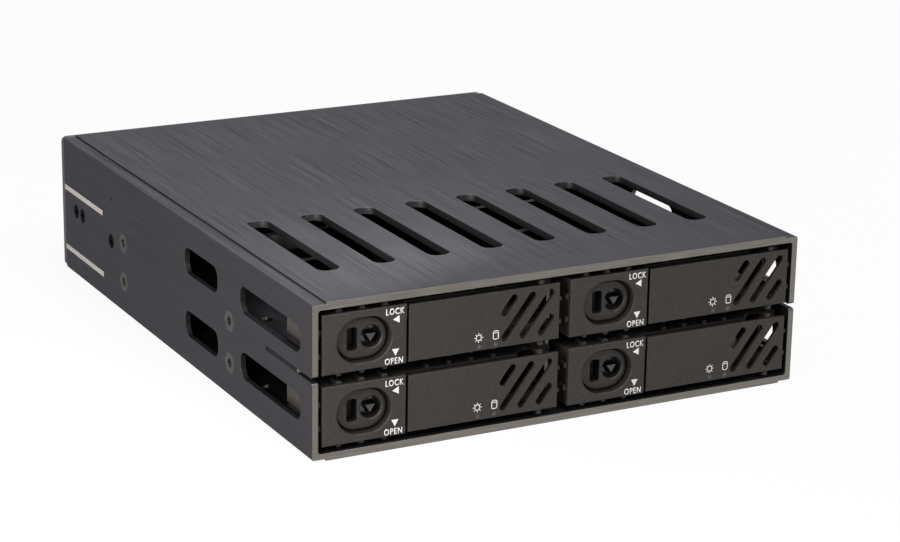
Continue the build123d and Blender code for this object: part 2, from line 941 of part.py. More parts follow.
def window_sketches():
    """Two rows of three windows, the front row with narrower outer ones."""
    sketches = []
    for inset, outer_width in (
        (rear_window_inset, window_width), (front_window_inset, narrow_window_width)
    ):
        step = window_width / 2 + window_bar + outer_width / 2
        middle = chassis_rear - inset - window_length / 2
        for x, width in ((-step, outer_width), (0, window_width), (step, outer_width)):
            window = RectangleRounded(width, window_length, window_radius)
            sketches.append(Pos(x, middle) * window)
    return sketches


def tray_screws():
    """Countersunk screws through the sheet, up into the moulded front."""
    screws = []
    for x in (-tray_screw_offset, tray_screw_offset):
        base = Plane(origin=(x, tray_screw_place, chassis_bottom))
        head = loft([
            base * Circle(tray_screw_head_radius),
            base.offset(tray_screw_cone) * Circle(tray_screw_radius),
        ])
        shank = extrude(base * Circle(tray_screw_radius), amount=tray_screw_length)
        screws.append(head + shank)
    return screws


def make_chassis():
    """The tray's flat sheet, with its windows and the holes for the drive's screws."""
    chassis = block(
        -chassis_half, chassis_half, chassis_front, chassis_rear, chassis_bottom, chassis_top
    )
    corners = chassis.edges().filter_by(Axis.Z).group_by(Axis.Y)[-1]
    chassis = chamfer(corners, chassis_corner)
    for window in window_sketches():
        chassis -= flat_prism(window, chassis_bottom - past, chassis_top + past)
    for x, y in drive_holes():
        chassis -= upright_cylinder(
            x, y, drive_hole_radius, chassis_bottom - past, chassis_top + past
        )
    for screw in tray_screws():
        chassis -= screw
    return chassis


def make_board(row):
    """A board with a tab at each side, which lies in a slot of the side wall."""
    bottom = board_bottom(row)
    top = board_top(row)
    inner = inner_half - fit
    board = block(-inner, inner, board_front, sleeve_depth, bottom, top)
    tab = block(inner - bite, half_width, board_tab_front, sleeve_depth, bottom, top)
    for side in mirrored(tab):
        board += side
    return board


def make_drive_connector(row, column):
    """A receptacle for one drive, straddling the front edge of its board."""
    half = connector_width / 2
    x = columns[column] - bay_half + connector_inset + half
    bottom = rows[row] + chassis_top + connector_rise
    top = bottom + connector_height
    body = block(x - half, x + half, connector_front, connector_rear, bottom, top)
    body -= block(
        x - half - past, x + half + past, board_front, connector_rear + past,
        bottom - past, board_top(row),
    )
    half = receptacle_width / 2
    middle = (bottom + top) / 2
    cavity_rear = connector_front + receptacle_depth
    mouth = block(
        x - half, x + half, connector_front - past, cavity_rear,
        middle - receptacle_height / 2, middle + receptacle_height / 2,
    )
    half -= receptacle_setback
    tongue = block(
        x - half, x + half, connector_front + receptacle_setback, cavity_rear + bite,
        middle - receptacle_tongue / 2, middle + receptacle_tongue / 2,
    )
    return body - (mouth - tongue)


def make_socket(x, bottom, width):
    """A cable socket that lies on a board and opens through the rear panel."""
    rear = overall_length
    top = bottom + socket_height
    cavity_front = rear - socket_cavity_depth
    body = block(x - width / 2, x + width / 2, rear - socket_depth, rear, bottom, top)
    half = width / 2 - socket_wall
    cavity = block(
        x - half, x + half, cavity_front, rear + past, bottom + socket_wall, top - socket_wall
    )
    half -= socket_wall
    middle = (bottom + top) / 2
    tongue = block(
        x - half, x + half, cavity_front - bite, rear - receptacle_setback,
        middle - receptacle_tongue / 2, middle + receptacle_tongue / 2,
    )
    return body - (cavity - tongue)


def socket_places(row):
    """The cable sockets of one board: the kind, the place across and the width of each."""
    places = []
    for index in range(data_socket_count):
        x = data_socket_inset + index * data_socket_pitch - inner_half
        places.append(("data", x, data_socket_width))
    places.append(("power", inner_half - power_socket_inset, power_socket_width))
    return places


def make_capacitors():
    capacitors = []
    y = sleeve_depth - capacitor_inset
    for row in rows:
        bottom = board_top(row)
        for index in range(capacitor_count):
            x = capacitor_first + index * capacitor_pitch
            body = upright_cylinder(x, y, capacitor_radius, bottom, bottom + capacitor_height)
            rim = body.edges().filter_by(GeomType.CIRCLE).sort_by(Axis.Z)[-1]
            capacitors.append(chamfer(rim, capacitor_rim))
    return capacitors


def make_panel_openings():
    """Openings for the sockets and for the air, at each board."""
    rear = overall_length + past
    front = sleeve_depth - past
    gap = panel_socket_gap
    slot = RectangleRounded(panel_slot_width, panel_slot_height, panel_slot_radius)
    openings = []
    for row in rows:
        top = board_top(row)
        for kind, x, width in socket_places(row):
            openings.append(block(
                x - width / 2 - gap, x + width / 2 + gap, front, rear,
                top - gap, top + socket_height + gap,
            ))
        for index in range(panel_slot_count):
            place = Pos(panel_slot_first + index * panel_slot_pitch, top + panel_slot_height / 2)
            openings.append(front_prism(place * slot, front, rear))
    return openings


def make_rear_panel():
    height = sleeve_height - 2 * ledge_drop
    outline = RectangleRounded(sleeve_width, height, panel_corner_radius)
    panel = front_prism(Pos(0, sleeve_height / 2) * outline, sleeve_depth, overall_length)
    for opening in make_panel_openings():
        panel -= opening
    inner = inner_half - fit
    flange = block(
        inner - panel_flange_thickness, inner,
        sleeve_depth - panel_flange_depth, sleeve_depth + bite,
        board_top("lower") + panel_flange_gap, board_bottom("upper") - panel_flange_gap,
    )
    for side in mirrored(flange):
        panel += side
    for y, z in panel_screw_places():
        for screw in mirrored(side_screw(y, z)):
            panel -= screw
    return panel


def make_tray(column, row):
    """Write every piece of one tray."""
    place = Pos(columns[column], tray_setback, rows[row])
    pieces = {
        "tray_chassis": [make_chassis()],
        "tray_bezel": [make_bezel()],
        "tray_screws": tray_screws(),
        "tray_lever": [make_lever()],
        "lever_pins": make_lever_pins(),
        "lever_lenses": make_lenses(),
        "latch_button": [make_button()],
        "lock_core": [make_core()],
        "button_spring": [make_button_spring()],
    }
    for name, solids in pieces.items():
        save(f"{name}_{row}_{column}", [place * solid for solid in solids])


def make_cage():
    """Write every piece that stays in the bay."""
    save("sleeve", make_sleeve())
    save("clinch_inserts", make_inserts())
    save("side_screws", make_side_screws())
    save("mid_shelf", make_shelf())
    save("shelf_brackets", make_shelf_brackets())
    save("lower_divider", make_divider(
        inner_floor, shelf_bottom, lower_tongues, shelf_bottom - bite, shelf_top
    ))
    save("upper_divider", make_divider(
        shelf_top, inner_roof, upper_tongues, shelf_bottom, shelf_top + bite
    ))
    save("lower_runners", make_runners("lower", inner_floor))
    save("upper_runners", make_runners("upper", shelf_top))
    sockets = {"data": [], "power": []}
    for row in rows:
        save(f"{row}_board", make_board(row))
        save(f"{row}_drive_connectors", [make_drive_connector(row, side) for side in columns])
        for kind, x, width in socket_places(row):
            sockets[kind].append(make_socket(x, board_top(row), width))
    for kind, solids in sockets.items():
        save(f"{kind}_sockets", solids)
    save("board_capacitors", make_capacitors())
    save("rear_panel", make_rear_panel())


os.makedirs("parts", exist_ok=True)
make_cage()
for row_name in rows:
    for column_name in columns:
        make_tray(column_name, row_name)
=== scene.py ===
import bpy
import bmesh
import json
from math import cos, pi, radians, sin
from mathutils import Matrix, Vector


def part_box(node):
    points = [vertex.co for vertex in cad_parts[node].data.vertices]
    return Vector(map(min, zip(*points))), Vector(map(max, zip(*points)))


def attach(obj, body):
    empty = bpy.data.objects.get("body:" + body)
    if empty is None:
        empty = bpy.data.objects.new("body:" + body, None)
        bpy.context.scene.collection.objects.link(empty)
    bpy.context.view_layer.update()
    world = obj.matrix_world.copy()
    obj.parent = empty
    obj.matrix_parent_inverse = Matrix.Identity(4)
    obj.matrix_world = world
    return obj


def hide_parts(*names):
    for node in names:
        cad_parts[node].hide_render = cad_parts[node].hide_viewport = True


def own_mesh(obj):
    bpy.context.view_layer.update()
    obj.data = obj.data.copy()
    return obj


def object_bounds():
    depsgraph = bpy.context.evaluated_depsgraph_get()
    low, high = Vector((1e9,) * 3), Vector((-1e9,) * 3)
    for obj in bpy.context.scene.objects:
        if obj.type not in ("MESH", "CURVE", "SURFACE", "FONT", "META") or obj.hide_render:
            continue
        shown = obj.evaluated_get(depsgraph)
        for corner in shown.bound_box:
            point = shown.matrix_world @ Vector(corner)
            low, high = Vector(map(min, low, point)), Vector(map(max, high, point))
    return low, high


# Hot swap cage for four 2.5-inch drives, dressed for its photograph. Metres.

MM = 0.001
ROWS = ("lower", "upper")
COLUMNS = ("left", "right")

# Camera, as fitted to the photograph: metres, degrees and millimetres of lens
CAMERA_PLACE = (-0.33538, -0.66061, 0.24785)
CAMERA_AZIMUTH = -27.897
CAMERA_ELEVATION = 17.418
CAMERA_ROLL = 0.983
CAMERA_LENS = 105.78
CAMERA_SENSOR = 36
CAMERA_NEAR = 0.05
CAMERA_FAR = 50

# Printed words on each lock plate: text, offsets from the middle of the button, width
LOCK_WORD = ("LOCK", 8.55 * MM, 6.5 * MM, 5.25 * MM)
OPEN_WORD = ("OPEN", 8.25 * MM, -6.75 * MM, 5.2 * MM)
PRINT_HEIGHT = 1.72 * MM
PRINT_THICKNESS = 0.02 * MM
PRINT_SPACING = 1.16
PRINT_BOLDNESS = 0.02

# Printed arrows on each lock plate: offsets from the middle of the button, and size
LOCK_ARROW = (8.8 * MM, 4.35 * MM)
OPEN_ARROW = (8.7 * MM, -4.5 * MM)
ARROW_LENGTH = 1.85 * MM
ARROW_WIDTH = 2.0 * MM

# Icons on each lever: offsets from its left edge and underside
ICON_LINE = 0.24 * MM
SUN_PLACE = (20.2 * MM, 3.6 * MM)
SUN_RADIUS = 0.86 * MM
SUN_RAYS = 8
RING_SIDES = 24
DRUM_PLACE = (25.25 * MM, 3.7 * MM)
DRUM_WIDTH = 1.5 * MM
DRUM_HEIGHT = 2.3 * MM
OVAL_SIDES = 16

# Where a sun ray starts and ends, and how far a drum's ovals rise, as shares of their widths
RAY_START = 1.14
RAY_END = 1.52
OVAL_RISE = 0.2

# Fineness of the marks on each surface, in waves a metre along x, y and z
BRUSH_LINES = (4600, 22, 4600)
BRUSH_PATCHES = (45, 18, 45)
SAW_LINES = (70, 4200, 4200)
MOULD_GRAIN = (1900, 1900, 1900)
MOULD_CLOUDS = (160, 160, 160)
METAL_STAINS = (70, 70, 70)
PLATING = (900, 900, 900)
BLACKENING = (700, 700, 700)
SHEET_ROLLING = (260, 60, 260)
CAN_DRAWING = (300, 300, 40)
PIN_DRAWING = (300, 300, 900)
STRIP_ROLLING = (900, 60, 60)
BOARD_CELLS = (300, 300, 0)
BOARD_WEAVE = (1500, 1500, 300)
LENS_HAZE = (900, 900, 900)
PRINT_MOTTLE = (2400, 2400, 2400)

# Depth of those marks, and radii of softened edges
BRUSH_DEPTH = 0.02 * MM
MOULD_DEPTH = 0.03 * MM
METAL_DEPTH = 0.02 * MM
SLEEVE_EDGE = 0.18 * MM
MOULD_EDGE = 0.12 * MM
METAL_EDGE = 0.06 * MM
CUT_FACE_DEPTH = 0.03 * MM
CREASE_ANGLE = 28

# Painted shade: plastic in gaps narrower than a depth is painted nearly black; both shades
# overshoot, to keep open faces clear
PAINTED_SHADE_DISTANCE = 5 * MM
PAINTED_SHADE_BLACK = (0.002, 0.002, 0.002)
GAP_SHADE = -0.25
OPEN_SHADE = 1.15

# White room: what the camera sees as 1 is a little dimmer in reflections and gives soft light
REFLECTED_WHITE = 0.8
ROOM_LIGHT = 0.24
FLOOR_HALF = 6.0
FLOOR_GAP = 0.02 * MM
FLOOR_MATT = 0.8
FLOOR_GLOW_SHARE = 0.92

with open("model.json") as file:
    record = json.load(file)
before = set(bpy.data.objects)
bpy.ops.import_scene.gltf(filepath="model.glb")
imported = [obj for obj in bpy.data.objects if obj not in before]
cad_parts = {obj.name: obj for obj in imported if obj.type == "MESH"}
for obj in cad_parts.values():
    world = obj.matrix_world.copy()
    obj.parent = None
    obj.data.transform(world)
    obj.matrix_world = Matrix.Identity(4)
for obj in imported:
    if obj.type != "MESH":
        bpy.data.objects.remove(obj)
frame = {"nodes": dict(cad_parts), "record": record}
cad_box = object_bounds()


class Shader:
    """A material's node tree, with one short call for each kind of step."""

    def __init__(self, name):
        self.material = bpy.data.materials.new(name)
        self.material.use_nodes = True
        self.nodes = self.material.node_tree.nodes
        self.links = self.material.node_tree.links
        self.surface = self.nodes["Principled BSDF"]

    def node(self, kind, **inputs):
        made = self.nodes.new(kind)
        for key, value in inputs.items():
            if key in made.inputs:
                self.feed(made.inputs[key], value)
            else:
                setattr(made, key, value)
        return made

    def feed(self, socket, value):
        if isinstance(value, bpy.types.NodeSocket):
            self.links.new(value, socket)
        else:
            socket.default_value = value

    def set(self, **inputs):
        for key, value in inputs.items():
            self.feed(self.surface.inputs[key.replace("_", " ")], value)

    def place(self, scale):
        """Object coordinates, stretched by a scale for each axis."""
        coords = self.node("ShaderNodeTexCoord")
        mapping = self.node("ShaderNodeMapping")
        self.links.new(coords.outputs["Object"], mapping.inputs["Vector"])
        mapping.inputs["Scale"].default_value = scale
        return mapping.outputs["Vector"]

    def noise(self, scale, detail=3.0, roughness=0.55):
        made = self.node("ShaderNodeTexNoise", Vector=self.place(scale), Scale=1.0)
        made.inputs["Detail"].default_value = detail
        made.inputs["Roughness"].default_value = roughness
        return made.outputs["Fac"]

    def ramp(self, value, stops):
        made = self.node("ShaderNodeValToRGB")
        self.links.new(value, made.inputs["Fac"])
        elements = made.color_ramp.elements
        while len(elements) < len(stops):
            elements.new(0.5)
        for element, (position, color) in zip(elements, stops):
            element.position = position
            element.color = (*color, 1.0)
        return made.outputs["Color"]

    def spread(self, value, low, high):
        """A number between 0 and 1, spread over a range."""
        made = self.node("ShaderNodeMapRange")
        self.links.new(value, made.inputs["Value"])
        made.inputs["To Min"].default_value = low
        made.inputs["To Max"].default_value = high
        return made.outputs["Result"]

    def math(self, operation, first, second=0.0):
        made = self.node("ShaderNodeMath", operation=operation)
        self.feed(made.inputs[0], first)
        self.feed(made.inputs[1], second)
        return made.outputs["Value"]

    def mix(self, amount, first, second):
        made = self.node("ShaderNodeMix", data_type="RGBA")
        self.feed(made.inputs["Factor"], amount)
        self.feed(made.inputs[6], first)
        self.feed(made.inputs[7], second)
        return made.outputs[2]

    def bump(self, height, strength, distance, normal=None):
        made = self.node("ShaderNodeBump", Height=height, Strength=strength, Distance=distance)
        if normal is not None:
            self.links.new(normal, made.inputs["Normal"])
        return made.outputs["Normal"]

    def soft_edges(self, radius):
        return self.node("ShaderNodeBevel", samples=4, Radius=radius).outputs["Normal"]

    def paint_gap_shade(self, color, depth):
        """A colour with painted shade: it falls to nearly black in gaps narrower than a given
        depth.
        """
        made = self.node("ShaderNodeAmbientOcclusion", samples=8, Distance=depth)
        unshaded = self.spread(made.outputs["AO"], GAP_SHADE, OPEN_SHADE)
        return self.mix(unshaded, rgb(*PAINTED_SHADE_BLACK), color)

    def facing(self, axis):
        """One component of the direction that the surface faces."""
        geometry = self.node("ShaderNodeNewGeometry")
        split = self.node("ShaderNodeSeparateXYZ", Vector=geometry.outputs["True Normal"])
        return split.outputs[axis]

    def position(self, axis):
        split = self.node("ShaderNodeSeparateXYZ", Vector=self.place((1, 1, 1)))
        return split.outputs[axis]


def rgb(red, green, blue):
    return (red, green, blue, 1.0)


def anodised_material():
    """Charcoal anodised aluminium, brushed along its depth, with bare cut ends."""
    dark_line = (0.056, 0.0545, 0.058)
    light_line = (0.145, 0.1415, 0.150)
    even_coat = rgb(0.097, 0.0945, 0.100)
    dark_cut = (0.135, 0.123, 0.107)
    light_cut = (0.265, 0.248, 0.223)
    shader = Shader("anodised_brushed")
    lines = shader.noise(BRUSH_LINES, detail=3.0, roughness=0.75)
    patches = shader.noise(BRUSH_PATCHES, detail=2.0)
    coat = shader.ramp(lines, [(0.32, dark_line), (0.68, light_line)])
    calm = shader.spread(shader.math("ABSOLUTE", shader.facing("X")), 0.0, 0.72)
    calm = shader.math("MAXIMUM", calm, shader.spread(patches, 0.0, 0.15))
    coat = shader.mix(calm, coat, even_coat)
    saw = shader.noise(SAW_LINES, detail=3.0, roughness=0.7)
    bare = shader.ramp(saw, [(0.28, dark_cut), (0.72, light_cut)])
    front = shader.math("LESS_THAN", shader.position("Y"), cad_box[0].y + CUT_FACE_DEPTH)
    color = shader.mix(front, coat, bare)
    rough = shader.spread(lines, 0.38, 0.52)
    normal = shader.bump(lines, 0.12, BRUSH_DEPTH, shader.soft_edges(SLEEVE_EDGE))
    shader.set(Base_Color=color, Roughness=rough, Metallic=1.0, Normal=normal)
    shader.set(Specular_Tint=rgb(0.35, 0.35, 0.37))
    return shader.material


def plastic_material(name, color, lighter, roughness, grain=0.3, gloss=0.35):
    """Moulded plastic with a fine sparked grain, softened edges and painted shade that turns its
    gaps dark.
    """
    shader = Shader(name)
    fine = shader.noise(MOULD_GRAIN, detail=3.0, roughness=0.7)
    broad = shader.noise(MOULD_CLOUDS, detail=3.0)
    tone = shader.ramp(fine, [(0.35, color), (0.68, lighter)])
    tone = shader.mix(shader.spread(broad, 0.0, 0.3), tone, rgb(*color))
    # painted shade: the tone is darkened to nearly black in narrow gaps
    tone = shader.paint_gap_shade(tone, PAINTED_SHADE_DISTANCE)
    rough = shader.spread(broad, roughness - 0.05, roughness + 0.07)
    normal = shader.bump(fine, grain, MOULD_DEPTH, shader.soft_edges(MOULD_EDGE))
    shader.set(Base_Color=tone, Roughness=rough, Normal=normal)
    shader.set(Specular_IOR_Level=gloss)
    return shader.material


def metal_material(name, color, lighter, roughness, fineness, sheared=None):
    """Bare or plated metal with rolling or turning marks, and bright sheared edges if given."""
    shader = Shader(name)
    marks = shader.noise(fineness, detail=3.0, roughness=0.65)
    stains = shader.noise(METAL_STAINS, detail=2.0)
    tone = shader.ramp(marks, [(0.3, color), (0.7, lighter)])
    tone = shader.mix(shader.spread(stains, 0.0, 0.25), tone, rgb(*color))
    if sheared:
        forward = shader.math("ABSOLUTE", shader.facing("Y"))
        tone = shader.mix(shader.math("GREATER_THAN", forward, 0.9), tone, rgb(*sheared))
    rough = shader.spread(marks, roughness - 0.06, roughness + 0.08)
    normal = shader.bump(marks, 0.08, METAL_DEPTH, shader.soft_edges(METAL_EDGE))
    shader.set(Base_Color=tone, Roughness=rough, Metallic=1.0, Normal=normal)
    shader.set(Specular_Tint=rgb(0.4, 0.4, 0.4))
    return shader.material


def board_material():
    """Glass-fibre board: green mask with faint traces on its faces, pale fibre at its edges."""
    shader = Shader("circuit_board")
    cells = shader.node("ShaderNodeTexBrick", Vector=shader.place(BOARD_CELLS), Scale=1.0)
    cells.inputs["Color1"].default_value = rgb(0.016, 0.062, 0.030)
    cells.inputs["Color2"].default_value = rgb(0.012, 0.050, 0.024)
    cells.inputs["Mortar"].default_value = rgb(0.028, 0.105, 0.045)
    cells.inputs["Mortar Size"].default_value = 0.06
    weave = shader.noise(BOARD_WEAVE, detail=2.0)
    fibre = shader.ramp(weave, [(0.3, (0.46, 0.41, 0.38)), (0.7, (0.60, 0.545, 0.51))])
    flat = shader.math("ABSOLUTE", shader.facing("Z"))
    face = shader.math("GREATER_THAN", flat, 0.5)
    color = shader.mix(face, fibre, cells.outputs["Color"])
    rough = shader.spread(weave, 0.32, 0.5)
    normal = shader.bump(weave, 0.1, METAL_DEPTH)
    shader.set(Base_Color=color, Roughness=rough, Normal=normal)
    return shader.material


def lens_material():
    """Clear light pipe, unlit: a dim grey moulded dot."""
    shader = Shader("light_pipe")
    haze = shader.noise(LENS_HAZE, detail=2.0)
    tone = shader.ramp(haze, [(0.3, (0.050, 0.048, 0.047)), (0.7, (0.082, 0.080, 0.078))])
    rough = shader.spread(haze, 0.12, 0.22)
    shader.set(Base_Color=tone, Roughness=rough)
    return shader.material


def print_material():
    """White screen print, a little uneven."""
    shader = Shader("white_print")
    mottle = shader.noise(PRINT_MOTTLE, detail=3.0)
    tone = shader.ramp(mottle, [(0.3, (0.62, 0.61, 0.59)), (0.7, (0.80, 0.79, 0.77))])
    shader.set(Base_Color=tone, Roughness=0.55)
    return shader.material


MATERIALS = {
    "anodised": anodised_material(),
    "insert_steel": metal_material(
        "zinc_insert", (0.118, 0.116, 0.114), (0.162, 0.159, 0.155), 0.5, PLATING
    ),
    "black_steel": metal_material(
        "black_screw", (0.016, 0.016, 0.017), (0.034, 0.033, 0.034), 0.30, BLACKENING
    ),
    "sheet_steel": metal_material(
        "galvanised_sheet", (0.034, 0.035, 0.038), (0.060, 0.062, 0.067), 0.42, SHEET_ROLLING,
        sheared=(0.60, 0.59, 0.57)
    ),
    "runner_plastic": plastic_material(
        "runner_black", (0.022, 0.022, 0.023), (0.034, 0.034, 0.035), 0.45
    ),
    "board": board_material(),
    "connector_plastic": plastic_material(
        "connector_black", (0.016, 0.016, 0.017), (0.026, 0.026, 0.027), 0.38
    ),
    "capacitor_can": metal_material(
        "capacitor_can", (0.45, 0.45, 0.46), (0.60, 0.60, 0.61), 0.33, CAN_DRAWING
    ),
    "panel_paint": plastic_material(
        "panel_paint", (0.028, 0.028, 0.029), (0.042, 0.042, 0.043), 0.48, grain=0.25
    ),
    "bezel_plastic": plastic_material(
        "bezel_charcoal", (0.014, 0.0117, 0.0101), (0.041, 0.0350, 0.0302), 0.52
    ),
    "pin_steel": metal_material(
        "pin_steel", (0.42, 0.42, 0.42), (0.60, 0.60, 0.60), 0.25, PIN_DRAWING
    ),
    "spring_steel": metal_material(
        "spring_strip", (0.30, 0.30, 0.31), (0.46, 0.46, 0.47), 0.30, STRIP_ROLLING
    ),
    "lens": lens_material(),
    "core_plastic": plastic_material(
        "core_black", (0.012, 0.0108, 0.0100), (0.019, 0.0170, 0.0155), 0.20, grain=0.10, gloss=0.8
    ),
}
PRINT = print_material()


def dress_cad_nodes():
    """Give every CAD node its material, with smooth curves and crisp edges."""
    slots = {part["node"]: part["material_slot"] for part in frame["record"]["subparts"]}
    for name, node in frame["nodes"].items():
        mesh = node.data
        mesh.materials.clear()
        mesh.materials.append(MATERIALS[slots[name]])
        mesh.polygons.foreach_set("material_index", [0] * len(mesh.polygons))
        mesh.polygons.foreach_set("use_smooth", [True] * len(mesh.polygons))
        mesh.set_sharp_from_angle(angle=radians(CREASE_ANGLE))


def add_mesh(name, vertices, faces, material, body, slot):
    mesh = bpy.data.meshes.new(name)
    mesh.from_pydata(vertices, [], faces)
    mesh.update()
    mesh.materials.append(material)
    made = bpy.data.objects.new(name, mesh)
    bpy.context.scene.collection.objects.link(made)
    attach(made, body)
    return made


def front_plates(outlines, front):
    """Vertices and faces of thin plates, drawn as seen from the front, ending at front."""
    vertices = []
    faces = []
    back = front + PRINT_THICKNESS
    for outline in outlines:
        start = len(vertices)
        count = len(outline)
        vertices += [(x, front, z) for x, z in outline]
        vertices += [(x, back, z) for x, z in outline]
        faces.append([start + index for index in range(count)])
        faces.append([start + count + index for index in reversed(range(count))])
        for index in range(count):
            following = (index + 1) % count
            faces.append([
                start + following, start + index,
                start + count + index, start + count + following,
            ])
    return vertices, faces


def ring(x, z, radius, width):
    """A flat ring as a list of four-sided outlines."""
    outlines = []
    for index in range(RING_SIDES):
        a = 2 * pi * index / RING_SIDES
        b = 2 * pi * (index + 1) / RING_SIDES
        inner = radius - width
        outlines.append([
            (x + inner * cos(a), z + inner * sin(a)), (x + radius * cos(a), z + radius * sin(a)),
            (x + radius * cos(b), z + radius * sin(b)), (x + inner * cos(b), z + inner * sin(b)),
        ])
    return outlines


def stroke(x0, z0, x1, z1, width):
    """A straight line of a given width as one outline."""
    along = Vector((x1 - x0, z1 - z0)).normalized()
    side = Vector((-along.y, along.x)) * width / 2
    return [
        (x0 - side.x, z0 - side.y), (x1 - side.x, z1 - side.y),
        (x1 + side.x, z1 + side.y), (x0 + side.x, z0 + side.y),
    ]


def sun_outlines(x, z):
    outlines = ring(x, z, SUN_RADIUS, ICON_LINE)
    for index in range(SUN_RAYS):
        angle = 2 * pi * index / SUN_RAYS
        near = SUN_RADIUS * RAY_START
        far = SUN_RADIUS * RAY_END
        outlines.append(stroke(
            x + near * cos(angle), z + near * sin(angle),
            x + far * cos(angle), z + far * sin(angle), ICON_LINE,
        ))
    return outlines


def drum_outlines(x, z):
    """A stack of disks seen from the side and a little above."""
    half = DRUM_WIDTH / 2
    rise = DRUM_WIDTH * OVAL_RISE
    top = z + DRUM_HEIGHT / 2 - rise
    bottom = z - DRUM_HEIGHT / 2 + rise
    outlines = [
        stroke(x - half, bottom, x - half, top, ICON_LINE),
        stroke(x + half, bottom, x + half, top, ICON_LINE),
    ]
    for height, first, last in ((top, 0, 2 * pi), (bottom, pi, 2 * pi)):
        for index in range(OVAL_SIDES):
            a = first + (last - first) * index / OVAL_SIDES
            b = first + (last - first) * (index + 1) / OVAL_SIDES
            outlines.append(stroke(
                x + half * cos(a), height + rise * sin(a),
                x + half * cos(b), height + rise * sin(b), ICON_LINE,
            ))
    return outlines


def arrow_outlines(x, z, direction):
    """A filled three-sided arrow about a point, pointing left or down."""
    long = ARROW_LENGTH / 2
    wide = ARROW_WIDTH / 2
    if direction == "left":
        return [[(x - long, z), (x + long, z - wide), (x + long, z + wide)]]
    return [[(x, z - long), (x + wide, z + long), (x - wide, z + long)]]


def add_word(name, word, x, z, width, front, body):
    """A printed word, centred on a point, made to a given width and height."""
    curve = bpy.data.curves.new(name, "FONT")
    curve.body = word
    curve.size = PRINT_HEIGHT
    curve.align_x = "CENTER"
    curve.align_y = "CENTER"
    curve.offset = PRINT_BOLDNESS * PRINT_HEIGHT
    curve.space_character = PRINT_SPACING
    maker = bpy.data.objects.new(name + "_curve", curve)
    bpy.context.scene.collection.objects.link(maker)
    bpy.context.view_layer.update()
    depsgraph = bpy.context.evaluated_depsgraph_get()
    mesh = bpy.data.meshes.new_from_object(maker.evaluated_get(depsgraph))
    bpy.data.objects.remove(maker)
    xs = [v.co.x for v in mesh.vertices]
    ys = [v.co.y for v in mesh.vertices]
    across = (min(xs) + max(xs)) / 2
    up = (min(ys) + max(ys)) / 2
    stretch = width / (max(xs) - min(xs))
    rise = PRINT_HEIGHT / (max(ys) - min(ys))
    for v in mesh.vertices:
        v.co = (x + (v.co.x - across) * stretch, front, z + (v.co.y - up) * rise)
    solid = bmesh.new()
    solid.from_mesh(mesh)
    bmesh.ops.remove_doubles(solid, verts=solid.verts, dist=0.001 * MM)
    bmesh.ops.recalc_face_normals(solid, faces=solid.faces)
    for face in solid.faces:
        face.normal_update()
        if face.normal.y > 0:
            face.normal_flip()
    made = bmesh.ops.extrude_face_region(solid, geom=solid.faces[:])
    moved = [v for v in made["geom"] if isinstance(v, bmesh.types.BMVert)]
    bmesh.ops.translate(solid, verts=moved, vec=(0, PRINT_THICKNESS, 0))
    bmesh.ops.recalc_face_normals(solid, faces=solid.faces)
    solid.to_mesh(mesh)
    solid.free()
    mesh.materials.clear()
    mesh.materials.append(PRINT)
    text = bpy.data.objects.new(name, mesh)
    bpy.context.scene.collection.objects.link(text)
    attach(text, body)
    return text


def add_tray_print(row, column):
    """Words and arrows on a lock plate, icons on its lever."""
    key = f"{row}_{column}"
    low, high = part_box(f"latch_button_{key}")
    middle_x = (low.x + high.x) / 2
    middle_z = (low.z + high.z) / 2
    lever_low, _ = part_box(f"tray_lever_{key}")
    front = lever_low.y - PRINT_THICKNESS / 2
    tray = f"tray_{key}"
    for word, across, up, width in (LOCK_WORD, OPEN_WORD):
        name = f"print_{word.lower()}_{key}"
        add_word(name, word, middle_x + across, middle_z + up, width, front, tray)
    arrows = arrow_outlines(middle_x + LOCK_ARROW[0], middle_z + LOCK_ARROW[1], "left")
    arrows += arrow_outlines(middle_x + OPEN_ARROW[0], middle_z + OPEN_ARROW[1], "down")
    add_mesh(f"print_arrows_{key}", *front_plates(arrows, front), PRINT, tray, "lens")
    sun = sun_outlines(lever_low.x + SUN_PLACE[0], lever_low.z + SUN_PLACE[1])
    drum = drum_outlines(lever_low.x + DRUM_PLACE[0], lever_low.z + DRUM_PLACE[1])
    plates = front_plates(sun + drum, front)
    add_mesh(f"print_icons_{key}", *plates, PRINT, f"lever_{key}", "lens")


def add_button_spring(row, column):
    """A copy of the leaf spring, with a mesh of its own, carried with its tray."""
    key = f"{row}_{column}"
    node = frame["nodes"][f"button_spring_{key}"]
    spring = bpy.data.objects.new(f"leaf_spring_{key}", node.data.copy())
    bpy.context.scene.collection.objects.link(spring)
    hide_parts(f"button_spring_{key}")
    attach(spring, f"tray_{key}")
    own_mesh(spring)


def add_camera():
    """The photograph's camera, turned by azimuth, elevation and roll."""
    azimuth = radians(CAMERA_AZIMUTH)
    elevation = radians(CAMERA_ELEVATION)
    roll = radians(CAMERA_ROLL)
    back = Vector((
        sin(azimuth) * cos(elevation), -cos(azimuth) * cos(elevation), sin(elevation)
    ))
    level = Vector((0, 0, 1)).cross(back).normalized()
    above = back.cross(level)
    right = cos(roll) * level + sin(roll) * above
    up = cos(roll) * above - sin(roll) * level
    turn = Matrix((right, up, back)).transposed().to_4x4()
    data = bpy.data.cameras.new("photo_camera")
    data.lens = CAMERA_LENS
    data.sensor_width = CAMERA_SENSOR
    data.clip_start = CAMERA_NEAR
    data.clip_end = CAMERA_FAR
    camera = bpy.data.objects.new("photo_camera", data)
    camera.matrix_world = Matrix.Translation(CAMERA_PLACE) @ turn
    bpy.context.scene.collection.objects.link(camera)
    bpy.context.scene.camera = camera


